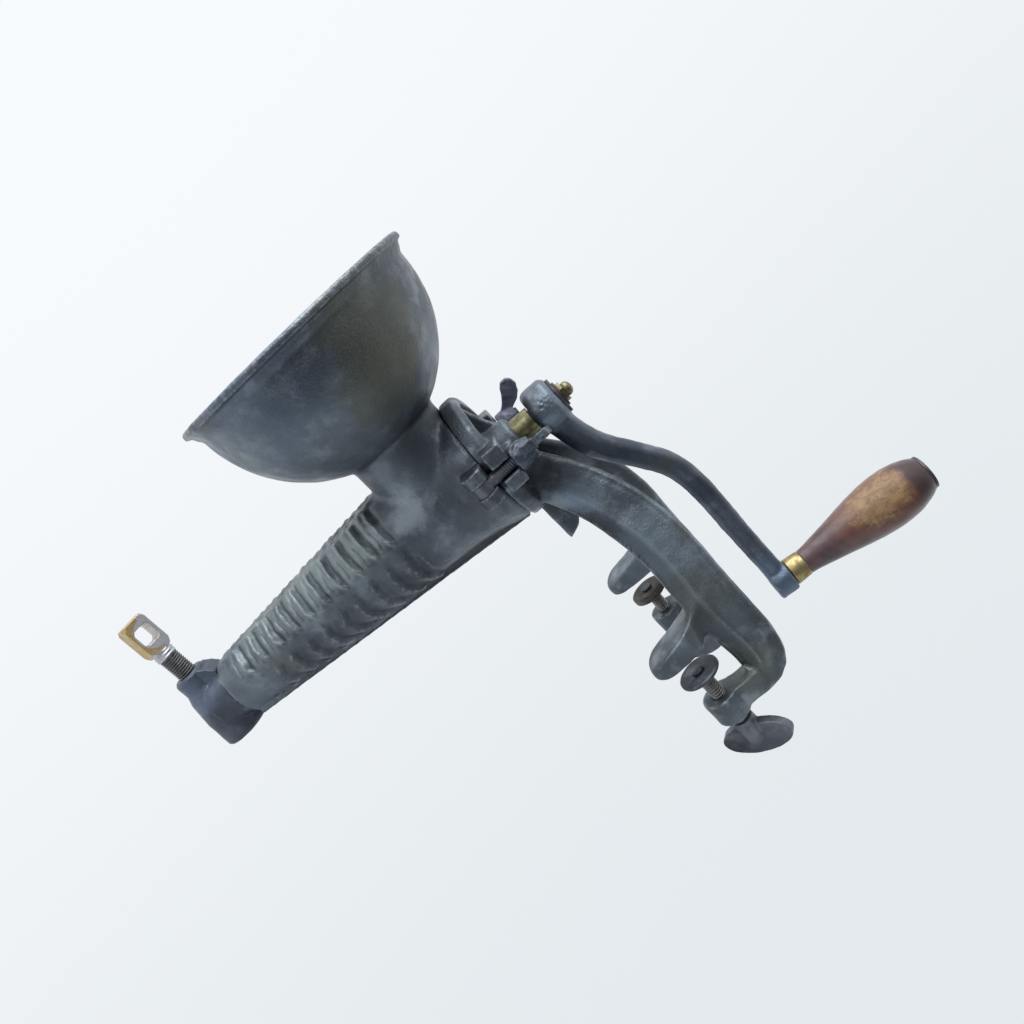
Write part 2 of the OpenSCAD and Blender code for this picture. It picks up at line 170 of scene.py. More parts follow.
def relax(obj, rounds, weight=1.0, keep_size=True):
    """Smooths a mesh. With keep_size each round also pushes out again, so that it doesn't shrink."""
    points = get_points(obj)
    edges = edge_list(obj)
    share = np.asarray(weight, float).reshape(-1, 1)
    for _ in range(rounds):
        points = points + DRAW_IN * share * (neighbour_mean(points, edges) - points)
        if keep_size:
            points = points - PUSH_OUT * share * (neighbour_mean(points, edges) - points)
    set_points(obj, points)


def settle(obj):
    """Applies the modifiers."""
    graph = bpy.context.evaluated_depsgraph_get()
    mesh = bpy.data.meshes.new_from_object(obj.evaluated_get(graph))
    obj.modifiers.clear()
    obj.data = mesh


def skin_over(obj, voxel):
    """Turns overlapping closed shapes into one even skin."""
    skin = obj.modifiers.new("Skin", "REMESH")
    skin.mode = "VOXEL"
    skin.voxel_size = voxel * MM
    settle(obj)


def store_number(obj, name, values):
    """Stores a number for each point, where a material can read it."""
    layer = obj.data.attributes.new(name, "FLOAT", "POINT")
    layer.data.foreach_set("value", values.astype(np.float32))


def mark_relief(obj, rounds=10, reach=0.35):
    """Stores how far each point stands out of its surroundings, in units of reach millimetres."""
    points = get_points(obj)
    edges = edge_list(obj)
    soft = points.copy()
    for _ in range(rounds):
        soft = soft + 0.6 * (neighbour_mean(soft, edges) - soft)
    relief = ((points - soft) * get_normals(obj)).sum(1) / (reach * MM)
    store_number(obj, "relief", np.clip(relief, -2, 2))


def mark_stain_and_shade(obj, amount):
    """Stores, from 0 to 1, where a piece is stained and where shade is painted on it."""
    store_number(obj, "stain_and_shade", np.clip(amount, 0, 1))


def join_into(obj, *meshes):
    """Adds closed meshes to an object's own."""
    joined = copy_of(obj.name + "_x", extra=(obj.data, *meshes))
    obj.data = joined.data
    bpy.data.objects.remove(joined)


def smooth_shade(obj, angle=None):
    """Shades a mesh smooth, but for edges sharper than an angle in degrees."""
    obj.data.polygons.foreach_set("use_smooth", [True] * len(obj.data.polygons))
    if angle is not None:
        obj.data.set_sharp_from_angle(angle=math.radians(angle))


def finish_piece(obj, material, body, slot, *replaced):
    """Gives a piece its material and body, and takes the place of CAD nodes. The slot is not used."""
    obj.data.materials.clear()
    obj.data.materials.append(material)
    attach(obj, body)
    if replaced:
        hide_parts(*replaced)


def soft_step(value, low, high):
    """0 below low, 1 above high, and smooth between."""
    t = np.clip((value - low) / (high - low), 0, 1)
    return t * t * (3 - 2 * t)


WAVE_COUNT = 9


def waves(points, scale, seed):
    """A smooth unevenness between about -1 and 1, the same on every run."""
    source = np.random.default_rng(seed)
    total = np.zeros(len(points))
    for _ in range(WAVE_COUNT):
        direction = source.normal(size=3)
        direction *= source.uniform(0.6, 1.5) / (np.linalg.norm(direction) * scale)
        total += np.sin(points @ direction * 2 * math.pi + source.uniform(0, 2 * math.pi))
    return total / 4.0


def uneven(obj, depth, scale, seed, weight=1.0):
    """Gives a cast piece the slight unevenness of a sand mould."""
    points = get_points(obj)
    shift = waves(points / MM, scale, seed) * depth * weight * MM
    set_points(obj, points + get_normals(obj) * shift[:, None])


# ---------------------------------------------------------------- material helpers

def srgb(red, green, blue):
    """A colour for a shader, from screen values of 0 to 255 that are all above 10."""
    return (*[((value / 255 + 0.055) / 1.055) ** 2.4 for value in (red, green, blue)], 1.0)


PATINA = srgb(84, 86, 78)
# The next colour is painted shade, laid into the iron's hollows and where a piece is marked with shade.
PAINTED_SHADE = srgb(40, 43, 49)
# The next colour is painted light.
PALE = srgb(140, 150, 158)
BLUE = srgb(84, 98, 118)
MOSS = srgb(104, 108, 98)
# The next colour is painted light, laid on the barrel's upper side.
PAINTED_LIGHT = srgb(136, 148, 148)
# The next colour is painted shade, laid on the lower sides of the barrel and the nozzle.
DEEP = srgb(56, 60, 68)
# The next colour is for worn edges, and is also a painted highlight on every ridge.
WORN_EDGE_AND_HIGHLIGHT = srgb(160, 168, 170)
SPECK = srgb(170, 172, 168)


class Shader:
    """A material's node tree, with short calls for the nodes that are used here."""

    def __init__(self, name):
        self.material = bpy.data.materials.new(name)
        self.material.use_nodes = True
        self.tree = self.material.node_tree
        self.surface = self.tree.nodes["Principled BSDF"]
        self.place = self.tree.nodes.new("ShaderNodeTexCoord").outputs["Object"]

    def feed(self, socket, value):
        if isinstance(value, bpy.types.NodeSocket):
            self.tree.links.new(value, socket)
        else:
            socket.default_value = value

    def stretch(self, scale):
        """Places for a noise whose features are drawn out along an axis with a scale below 1."""
        node = self.tree.nodes.new("ShaderNodeMapping")
        self.feed(node.inputs["Vector"], self.place)
        node.inputs["Scale"].default_value = scale
        return node.outputs[0]

    def noise(self, size, detail=4, rough=0.6, place=None, warp=0.0):
        """Noise whose features are about size millimetres across."""
        node = self.tree.nodes.new("ShaderNodeTexNoise")
        self.feed(node.inputs["Vector"], place or self.place)
        node.inputs["Scale"].default_value = 1 / (size * MM)
        node.inputs["Detail"].default_value = detail
        node.inputs["Roughness"].default_value = rough
        node.inputs["Distortion"].default_value = warp
        return node.outputs[0]

    def math(self, operation, a, b=0.0):
        node = self.tree.nodes.new("ShaderNodeMath")
        node.operation = operation
        self.feed(node.inputs[0], a)
        self.feed(node.inputs[1], b)
        return node.outputs[0]

    def step(self, value, low, high, start=0.0, end=1.0):
        """Goes smoothly from start to end while value goes from low to high."""
        node = self.tree.nodes.new("ShaderNodeMapRange")
        node.interpolation_type = "SMOOTHSTEP"
        self.feed(node.inputs["Value"], value)
        node.inputs["From Min"].default_value = low
        node.inputs["From Max"].default_value = high
        node.inputs["To Min"].default_value = start
        node.inputs["To Max"].default_value = end
        return node.outputs[0]

    def mix(self, factor, a, b):
        """Colour a where the factor is 0 and b where it is 1."""
        node = self.tree.nodes.new("ShaderNodeMix")
        node.data_type = "RGBA"
        self.feed(node.inputs[0], factor)
        self.feed(node.inputs[6], a)
        self.feed(node.inputs[7], b)
        return node.outputs[2]

    def mark(self, name):
        """A number stored on the mesh's points."""
        node = self.tree.nodes.new("ShaderNodeAttribute")
        node.attribute_name = name
        return node.outputs["Fac"]

    def vector_math(self, operation, vector, other=(0, 0, 0)):
        node = self.tree.nodes.new("ShaderNodeVectorMath")
        node.operation = operation
        self.feed(node.inputs[0], vector)
        node.inputs[1].default_value = other
        return node.outputs["Value" if operation == "LENGTH" else "Vector"]

    def nearness(self, centre, reach):
        """0 at a point and 1 at reach metres from it along each axis."""
        away = self.vector_math("SUBTRACT", self.place, centre)
        return self.vector_math("LENGTH", self.vector_math("DIVIDE", away, reach))

    def ragged(self, value, noise, amount):
        """Shifts a value by noise, so that an edge drawn from it is ragged."""
        return self.math("ADD", value, self.math("MULTIPLY", self.math("SUBTRACT", noise, 0.5), amount))

    def bump(self, height, depth, below=None):
        """A normal for relief of a depth in millimetres, on top of the relief below."""
        node = self.tree.nodes.new("ShaderNodeBump")
        node.inputs["Distance"].default_value = depth * MM
        node.inputs["Strength"].default_value = 1.0
        self.feed(node.inputs["Height"], height)
        if below is not None:
            self.feed(node.inputs["Normal"], below)
        return node.outputs[0]

    def finish(self, colour, roughness, normal, metallic, specular=0.5):
        self.feed(self.surface.inputs["Base Color"], colour)
        self.feed(self.surface.inputs["Roughness"], roughness)
        self.feed(self.surface.inputs["Normal"], normal)
        self.surface.inputs["Metallic"].default_value = metallic
        self.surface.inputs["Specular IOR Level"].default_value = specular
        return self.material


def make_iron(name, dark, middle, light, metallic=0.75, rough=0.42, pits=0.1, light_share=0.5,
              patches=()):
    """Worn cast iron: broad cloudy tones, a green-brown patina, worn edges that also carry a painted
    highlight, painted shade in hollows and where a piece is marked, and fine pits.

    A patch is a centre and reach in millimetres, its share from 0 to 1 and its colour. Some patches are
    painted light or painted shade.
    """
    s = Shader(name)
    broad = s.noise(70, 3, 0.5)
    cloud = s.noise(17, 6, 0.6, warp=0.15)
    fine = s.noise(3.4, 5, 0.7)
    speck = s.noise(0.9, 2, 0.5)
    colour = s.mix(s.step(broad, 0.4, 0.62), dark, middle)
    colour = s.mix(s.step(cloud, 0.5, 0.66, 0.0, light_share), colour, light)
    blotch = s.noise(8, 4, 0.55, warp=0.3)
    colour = s.mix(s.step(blotch, 0.54, 0.7, 0.0, light_share * 0.4), colour, light)
    colour = s.mix(s.step(cloud, 0.46, 0.26, 0.0, 0.4), colour, dark)
    colour = s.mix(s.step(fine, 0.42, 0.25, 0.0, 0.35), colour, dark)
    patina = s.noise(30, 5, 0.62)
    colour = s.mix(s.step(patina, 0.55, 0.68, 0.0, 0.45), colour, PATINA)
    for centre, reach, share, tint in patches:
        ragged = s.ragged(s.nearness(spot(*centre), (reach * MM,) * 3), patina, 2.2)
        ragged = s.ragged(ragged, fine, 0.5)
        colour = s.mix(s.step(ragged, 0.55, 1.15, share, 0.0), colour, tint)
    # painted shade where the piece is marked: the barrel's lower flank, the neck, the legs' lower bevels
    # and roots; the rail under the barrel is marked darker too
    colour = s.mix(s.math("MULTIPLY", s.mark("stain_and_shade"), s.step(fine, 0.2, 0.5, 0.7, 1.0)), colour, PAINTED_SHADE)
    relief = s.mark("relief")
    # worn edges and a painted highlight on the ridges
    worn = s.math("MULTIPLY", s.step(relief, 0.25, 1.6), s.step(fine, 0.42, 0.62, 0.0, 0.6))
    colour = s.mix(worn, colour, WORN_EDGE_AND_HIGHLIGHT)
    # painted shade in the hollows
    hollow = s.step(s.math("MULTIPLY", relief, -1.0), 0.2, 1.5, 0.0, 0.65)
    colour = s.mix(hollow, colour, PAINTED_SHADE)
    colour = s.mix(s.step(speck, 0.7, 0.76, 0.0, 0.3), colour, SPECK)
    roughness = s.step(cloud, 0.3, 0.7, rough + 0.1, rough - 0.06)
    normal = s.bump(s.step(s.noise(1.3, 3, 0.6), 0.3, 0.55), pits)
    normal = s.bump(s.noise(6.5, 4, 0.6), 0.3, below=normal)
    return s.finish(colour, roughness, normal, metallic)


# the last patch is painted light on the barrel's top beside the neck
BOWL_PATCHES = (((52, -66, 112), 38, 0.8, PATINA), ((30, -60, 88), 30, 0.7, PATINA),
                ((-30, -78, 120), 40, 0.35, BLUE), ((-22, -36, 17), 15, 0.75, PALE))
# painted light on the barrel's upper side and painted shade on its lower side
BARREL_PATCHES = (((-62, -24, 24), 26, 0.55, PAINTED_LIGHT), ((-105, -22, 21), 26, 0.55, PAINTED_LIGHT),
                  ((-150, -18, 18), 28, 0.4, PAINTED_LIGHT), ((12, -42, -2), 26, 0.6, DEEP),
                  ((-50, -34, -16), 26, 0.6, DEEP), ((-95, -28, -14), 26, 0.6, DEEP),
                  ((-140, -24, -12), 26, 0.5, DEEP))
# painted shade at the leg's root and painted light along its outer face; the moss and patina patches are
# the iron's own colour
STAND_PATCHES = (((52, -40, -24), 18, 0.75, srgb(48, 47, 56)), ((70, -70, -190), 22, 0.5, MOSS),
                 ((66, -42, -50), 19, 0.7, srgb(124, 140, 156)),
                 ((82, -55, -96), 26, 0.6, srgb(120, 134, 146)), ((76, -66, -140), 24, 0.5, PATINA))
HUB_FACE = (86, -14, 4)
# a lighter arm end, and painted light on the hub's face
CRANK_PATCHES = (((124, -6, -198), 22, 0.7, srgb(98, 114, 134)), (HUB_FACE, 15, 0.6, srgb(122, 136, 150)))
# painted light on the nozzle's top and painted shade on its lower end
NOZZLE_PATCHES = (((-213, -17, 18), 14, 0.4, srgb(98, 110, 130)), ((-213, -17, -14), 17, 0.6, DEEP))

tinned_iron = make_iron("tinned_iron", srgb(76, 84, 92), srgb(100, 109, 117), srgb(124, 133, 141),
                        patches=BOWL_PATCHES + BARREL_PATCHES)
stand_iron = make_iron("stand_iron", srgb(76, 84, 91), srgb(104, 114, 122), srgb(138, 148, 155),
                       patches=STAND_PATCHES)
crank_iron = make_iron("crank_iron", srgb(70, 78, 89), srgb(92, 101, 112), srgb(122, 131, 140),
                       pits=0.05, light_share=0.35, patches=CRANK_PATCHES)
dark_iron = make_iron("dark_iron", srgb(54, 59, 70), srgb(76, 83, 96), srgb(112, 121, 138),
                      rough=0.4, patches=NOZZLE_PATCHES)
screw_iron = make_iron("screw_iron", srgb(66, 69, 78), srgb(94, 98, 106), srgb(128, 132, 138), rough=0.4)
lilac_iron = make_iron("lilac_iron", srgb(84, 88, 106), srgb(106, 110, 130), srgb(128, 134, 152),
                       metallic=0.3, rough=0.5)
pad_iron = make_iron("pad_iron", srgb(60, 58, 56), srgb(82, 79, 75), srgb(110, 106, 98), rough=0.5)


def make_metal(name, base, tarnish, stain_and_shade, rough, metallic=1.0, tarnish_share=0.6, turned=None):
    """Machined metal with tarnish in clouds, and painted shade in its hollows. Where it is marked as
    stained it has the turned colour.
    """
    s = Shader(name)
    cloud = s.noise(7, 5, 0.65, warp=0.6)
    colour = s.mix(s.step(cloud, 0.38, 0.7, 0.0, tarnish_share), base, tarnish)
    colour = s.mix(s.step(s.noise(2.2, 4, 0.7), 0.58, 0.78, 0.0, 0.6), colour, stain_and_shade)
    if turned:
        share = s.math("MULTIPLY", s.mark("stain_and_shade"), s.step(cloud, 0.3, 0.5, 0.6, 0.95))
        colour = s.mix(share, colour, turned)
    # painted shade in the hollows
    hollow = s.step(s.math("MULTIPLY", s.mark("relief"), -1.0), 0.1, 0.9, 0.0, 0.8)
    colour = s.mix(hollow, colour, stain_and_shade)
    roughness = s.step(cloud, 0.3, 0.7, rough - 0.06, rough + 0.16)
    normal = s.bump(s.noise(0.8, 4, 0.6), 0.03)
    return s.finish(colour, roughness, normal, metallic)


brass = make_metal("brass", srgb(148, 144, 112), srgb(94, 90, 68), srgb(54, 50, 42), 0.38,
                   tarnish_share=0.8)
bright_brass = make_metal("bright_brass", srgb(166, 156, 112), srgb(128, 108, 78), srgb(110, 80, 62), 0.42,
                          tarnish_share=0.9)
bronze = make_metal("bronze", srgb(128, 122, 96), srgb(86, 80, 62), srgb(56, 50, 42), 0.36,
                    tarnish_share=0.8)
steel = make_metal("steel", srgb(190, 190, 196), srgb(164, 162, 164), srgb(118, 108, 92), 0.38,
                   metallic=0.85, turned=srgb(176, 150, 98))
thread_steel = make_metal("thread_steel", srgb(98, 98, 98), srgb(72, 72, 72), srgb(36, 36, 36), 0.4,
                          metallic=0.85)
# The next material is worn thread steel, and its brighter colour is also a painted highlight.
worn_thread_and_highlight = make_metal("worn_thread_and_highlight", srgb(128, 127, 122), srgb(96, 95, 92), srgb(48, 47, 46), 0.36,
                         metallic=0.85)
bolt_steel = make_metal("bolt_steel", srgb(104, 106, 114), srgb(80, 82, 90), srgb(46, 46, 52), 0.42,
                        metallic=0.8)
washer_steel = make_metal("washer_steel", srgb(88, 84, 88), srgb(66, 60, 64), srgb(46, 41, 42), 0.45,
                          metallic=0.8)


def make_wood():
    """Turned wood under old dark red varnish that has worn off the belly."""
    low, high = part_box("handle_grip")
    centre = (low + high) / 2
    length = high.x - low.x
    s = Shader("worn_varnished_wood")
    along = s.stretch((0.09, 1.0, 1.0))
    grain = s.noise(1.5, 5, 0.65, place=along, warp=0.3)
    strands = s.noise(1.1, 5, 0.75, place=s.stretch((0.25, 1.0, 1.0)), warp=1.2)
    varnish = s.mix(s.step(s.noise(16, 4, 0.6), 0.36, 0.66), srgb(58, 40, 44), srgb(88, 64, 68))
    varnish = s.mix(s.step(grain, 0.5, 0.75, 0.0, 0.4), varnish, srgb(46, 27, 29))
    scuffs = s.noise(4.5, 7, 0.8, place=s.stretch((0.6, 1.0, 1.0)), warp=0.9)
    bare = s.mix(s.step(scuffs, 0.34, 0.66), srgb(150, 120, 84), srgb(104, 78, 52))
    bare = s.mix(s.step(strands, 0.54, 0.72, 0.0, 0.28), bare, srgb(88, 62, 44))
    belly = centre + Vector((length * 0.19, -0.012, 0.013))
    near_belly = s.nearness(belly, (length * 0.29, 0.021, 0.021))
    ragged = s.ragged(near_belly, s.noise(9, 7, 0.8), 1.7)
    back = centre + Vector((length * 0.08, 0.013, -0.012))
    near_back = s.nearness(back, (length * 0.26, 0.013, 0.013))
    ragged_back = s.ragged(near_back, s.noise(8, 6, 0.7), 1.2)
    worn = s.math("MAXIMUM", s.step(ragged, 0.55, 0.92, 1.0, 0.0), s.step(ragged_back, 0.5, 1.0, 0.8, 0.0))
    halo = s.step(ragged, 0.95, 1.5, 0.55, 0.0)
    varnish = s.mix(halo, varnish, srgb(112, 72, 52))
    # the varnish is whole again, and darker, towards the tip
    tip = centre + Vector((length * 0.5, 0, 0))
    near_tip = s.ragged(s.nearness(tip, (length * 0.17, 1, 1)), s.noise(7, 5, 0.6), 0.9)
    worn = s.math("MULTIPLY", worn, s.step(near_tip, 0.6, 1.2))
    varnish = s.mix(s.step(near_tip, 0.5, 1.3, 0.8, 0.0), varnish, srgb(46, 36, 42))
    colour = s.mix(worn, varnish, bare)
    roughness = s.math("ADD", s.step(worn, 0.0, 1.0, 0.3, 0.55), s.step(grain, 0.3, 0.7, 0.0, 0.08))
    normal = s.bump(s.math("ADD", grain, s.math("MULTIPLY", worn, -0.5)), 0.12)
    s.surface.inputs["Coat Weight"].default_value = 0.15
    s.surface.inputs["Coat Roughness"].default_value = 0.3
    return s.finish(colour, roughness, normal, 0.0)


wood = make_wood()


# ---------------------------------------------------------------- press body

BARREL_BACK = 195
BARREL_FRONT = 34
BARREL_R0 = 22
BARREL_R1 = 41
NECK_R = 33.5
RAIL_HALF = 15
RIB_PITCH = 14.4
RIB_COUNT = 10
FIRST_SLIT = -39.5
RIDGE_HEIGHT = 2.0
RIDGE_OFFSET = 4.6
RIB_HEIGHT = 1.5
GROOVE_DEPTH = 0.9
LOBE_HEIGHT = 2.7
STUD_REACH = 4.0
STUD_ANGLES = (-12, 3, 17)


def barrel_radius(x):
    return BARREL_R0 + (BARREL_R1 - BARREL_R0) * (x + BARREL_BACK) / (BARREL_BACK + BARREL_FRONT)


def angle_from_top(p):
    """Degrees round the shaft from straight up, the same on both sides."""
    return np.degrees(np.arctan2(np.abs(p[:, 1]), p[:, 2]))


def mound(distance, half_width, flat=1.0):
    """A smooth mound across a width, flatter on top for flat below 1."""
    return (0.5 + 0.5 * np.cos(math.pi * np.clip(np.abs(distance) / half_width, 0, 1))) ** flat


def upper_ribs(x, angle, wobble, source):
    """The rows of ribs above the barrel's flank: a narrow ridge, a slit and a broad rib at each pitch."""
    height = np.zeros(len(x))
    for i in range(-1, RIB_COUNT):
        slit = FIRST_SLIT - i * RIB_PITCH
        vary = source.uniform(-1, 1, 6)
        lean = 0.045 * (angle - 45) + 0.5 * wobble
        across = x - slit - lean
        window = soft_step(angle, 15 + 2 * vary[0], 28) * (1 - soft_step(angle, 72, 84 + 3 * vary[1]))
        hook = 2.6 * soft_step(angle, 66, 82)
        if i >= 0:
            height += (RIDGE_HEIGHT + 0.3 * vary[2]) * mound(across + RIDGE_OFFSET - hook, 3.1) * window
        ending = 1 - soft_step(angle, 68, 78 + 3 * vary[3])
        height -= (0.7 if i >= 0 else 0.5) * mound(across + 0.1, 1.8) * soft_step(angle, 18, 28) * ending
        if i >= 0:
            broad = soft_step(angle, 14, 24) * (1 - soft_step(angle, 75, 85 + 2 * vary[4]))
            height += (RIB_HEIGHT + 0.25 * vary[5]) * mound(across + RIB_PITCH - 4.6, 5.2, 0.6) * broad
            groove = soft_step(angle, 38, 54) * (1 - soft_step(angle, 70, 80))
            height -= GROOVE_DEPTH * mound(across + RIB_PITCH - 5.2, 1.6) * groove
    return height


def flank_lobes(x, angle, wobble):
    """Overlapping lobes down the flank, each with a steep lower edge that sweeps round to the rail."""
    crest = np.interp(angle, [80, 92, 108, 126, 142, 156, 168], [0.5, -2.5, -5.2, -5.4, -2.0, 4.0, 12.0])
    phase = np.mod((x - FIRST_SLIT - crest - 0.6 * wobble) / RIB_PITCH, 1.0)
    bent = np.interp(phase, [0, 0.34, 1], [0, 0.5, 1])
    lobes = 0.5 + 0.5 * np.cos(2 * math.pi * bent)
    along = soft_step(x, -182, -150) * (1 - soft_step(x, -36, -26))
    flank = soft_step(angle, 84, 100) * (1 - soft_step(angle, 160, 170)) * along
    return LOBE_HEIGHT * (lobes - 0.3) * flank


def top_studs(x, angle, side, source):
    """Small pebbles along the top, between the two rows of ribs."""
    radius = barrel_radius(x)
    studs = np.zeros(len(x))
    for i in range(2 * RIB_COUNT + 1):
        middle = FIRST_SLIT - 2 - i * RIB_PITCH / 2 + source.uniform(-0.8, 0.8)
        for lean in STUD_ANGLES:
            offset = np.radians(angle * side - lean - source.uniform(-3, 3)) * radius
            gap = np.hypot(x - middle - source.uniform(-1.2, 1.2), offset)
            studs = np.maximum(studs, (1.0 + source.uniform(-0.2, 0.3)) * mound(gap, STUD_REACH, 0.8))
    return studs * (1 - soft_step(angle, 22, 30))


def rib_relief(x, angle, side):
    """Height of the barrel's cast relief, in millimetres, at an angle from straight up."""
    source = np.random.default_rng(21)
    wobble = waves(np.stack([x, angle * 0.6, 40.0 * side], 1), 13, 22)
    height = upper_ribs(x, angle, wobble, source) + flank_lobes(x, angle, wobble)
    return height + top_studs(x, angle, side, source)


def raise_ribs(p, cone):
    """Moves the points of the barrel's outer face on to its ribs."""
    radial = np.hypot(p[:, 1], p[:, 2])
    outside = (np.abs(radial - cone - 0.5) < 3.0) & (p[:, 0] > -BARREL_BACK + 2.5) & (p[:, 0] < -30)
    outside &= ~((np.abs(p[:, 1]) < RAIL_HALF + 0.8) & (p[:, 2] < 0))
    outside &= ~((np.hypot(p[:, 0], p[:, 1]) < NECK_R + 3.5) & (p[:, 2] > 15))
    # the ribs fade out just before the neck and the flange
    share = soft_step(-p[:, 0], 31, 36)
    ribbed = cone + share * rib_relief(p[:, 0], angle_from_top(p), np.where(p[:, 1] < 0, 1.0, -1.0))
    scale = np.where(outside, ribbed / np.maximum(radial, 1e-6), 1.0)
    p[:, 1] *= scale
    p[:, 2] *= scale


def swell_rim(p):
    """Raises a low band under the bowl's rim."""
    reach = np.hypot(p[:, 0], p[:, 1])
    band = (soft_step(p[:, 2], 131.6, 132.8) - soft_step(p[:, 2], 138, 139)) * (reach > 81.5)
    swell = 1 + 0.4 * band / np.maximum(reach, 1)
    p[:, 0] *= swell
    p[:, 1] *= swell


def make_press_body():
    obj = copy_of("hopper_and_barrel", "press_body")
    skin_over(obj, 0.95)
    relax(obj, 2)
    p = in_shaft_frame(get_points(obj))
    cone = barrel_radius(p[:, 0])
    raise_ribs(p, cone)
    set_points(obj, in_row_frame(p))
    relax(obj, 1)
    # the neck runs into the barrel in a wide fillet
    p = in_shaft_frame(get_points(obj))
    around_neck = np.exp(-((np.hypot(p[:, 0], p[:, 1]) - NECK_R) / 7.0) ** 2)
    around_neck *= soft_step(p[:, 2], 5, 16) * (1 - soft_step(p[:, 2], 58, 70))
    relax(obj, 26, around_neck, keep_size=False)
    p = in_shaft_frame(get_points(obj))
    swell_rim(p)
    set_points(obj, in_row_frame(p))
    uneven(obj, 0.12, 14, 3)
    mark_relief(obj)
    # painted shade on the barrel's lower flank and on the neck above its fillet, and a darker rail under
    # the barrel
    rail = (np.abs(p[:, 1]) < RAIL_HALF + 1.5) & (p[:, 2] < -12) & (p[:, 2] < -0.98 * cone)
    shaded = soft_step(angle_from_top(p), 143, 148) * soft_step(p[:, 0], -75, -30) * (p[:, 2] < -12)
    corner = around_neck * soft_step(p[:, 2], 20, 52) * 0.35
    mark_stain_and_shade(obj, np.maximum(0.85 * rail, 0.7 * shaded) + corner)
    smooth_shade(obj)
    finish_piece(obj, tinned_iron, "press", "tinned_iron", "press_body")


make_press_body()


# ---------------------------------------------------------------- stand

SCREW_X = 46
SCREW_Y = 69.5
SEARCH_BLOCK = 8000

# The middle line of one leg: x, distance from the press's middle plane, z, width and thickness
LEG = [(44, 21, -10, 28, 13), (56.5, 24, -29, 31, 12), (69, 32, -50, 33, 12), (78.5, 43, -76, 35, 12),
       (83, 54, -105, 35, 12), (82.5, 63, -133, 35, 12), (83, 68.5, -160, 34, 12), (84, 69.5, -184, 31, 13),
       (80, 69.5, -200, 28, 14), (69, 69.5, -204.5, 22, 16), (56, 69.5, -205, 18, 17)]


def smooth_rows(rows, count):
    """Points on a smooth curve through rows of numbers."""
    rows = np.array(rows, float)
    rows = np.vstack([rows[:1], rows, rows[-1:]])
    made = []
    for i in range(len(rows) - 3):
        a, b, c, d = rows[i:i + 4]
        for t in np.arange(count) / count:
            made.append(0.5 * (2 * b + (c - a) * t + (2 * a - 5 * b + 4 * c - d) * t ** 2
                               + (3 * b - a - 3 * c + d) * t ** 3))
    made.append(rows[-1])
    return np.array(made)


def nearest_rows(where, path):
    """The row of a leg's middle line that is nearest to each point."""
    weigh = np.sqrt([1, 0.3, 1])
    goal = path[:, :3] * weigh
    nearest = np.zeros(len(where), int)
    for start in range(0, len(where), SEARCH_BLOCK):
        block = where[start:start + SEARCH_BLOCK] * weigh
        away = (goal ** 2).sum(1)[None, :] - 2 * block @ goal.T
        nearest[start:start + SEARCH_BLOCK] = away.argmin(1)
    return nearest


def shape_legs(p):
    """Shapes the legs' outer faces, with a lip, a bevel and a ridge. Also gives where shade is painted: on
    the lower bevels and at the legs' roots.
    """
    path = smooth_rows(LEG, 40)
    heading = np.gradient(path[:, [0, 2]], axis=0)
    heading /= np.linalg.norm(heading, axis=1)[:, None]
    where = np.stack([p[:, 0], np.abs(p[:, 1]), p[:, 2]], 1)
    nearest = nearest_rows(where, path)
    middle = path[nearest]
    turn = heading[nearest]
    across = (-(where[:, 0] - middle[:, 0]) * turn[:, 1] + (where[:, 2] - middle[:, 2]) * turn[:, 0])
    across /= middle[:, 3] / 2
    outward = (where[:, 1] - middle[:, 1]) / (middle[:, 4] / 2)
    along = nearest / (len(path) - 1)
    window = soft_step(along, 0.1, 0.24) * (1 - soft_step(along, 0.74, 0.86))
    face = soft_step(outward, 0.3, 0.8) * window * (1 - soft_step(np.abs(across), 1.1, 1.5))
    face *= outward < 1.6
    lip = 0.9 * np.exp(-((across - 0.92) / 0.07) ** 2) - 0.6 * np.exp(-((across - 0.76) / 0.09) ** 2)
    jaw_root = np.exp(-((p[:, 2] + 145) / 19) ** 2)
    bevel = 4.5 * soft_step(-across, 0.2, 1.05) * (1 - jaw_root)
    ridge = 0.7 * np.exp(-((across + 0.24) / 0.12) ** 2)
    p = p.copy()
    p[:, 1] += face * (lip - bevel + ridge) * np.sign(p[:, 1])
    # painted shade on each leg's lower bevel and at its root
    below = face * soft_step(-across, 0.25, 0.5)
    root = (1 - soft_step(along, 0.12, 0.3)) * soft_step(along, 0.01, 0.06) * soft_step(across, -0.6, 0.1)
    return p, 0.45 * below + 0.6 * root * (np.abs(across) < 1.2)


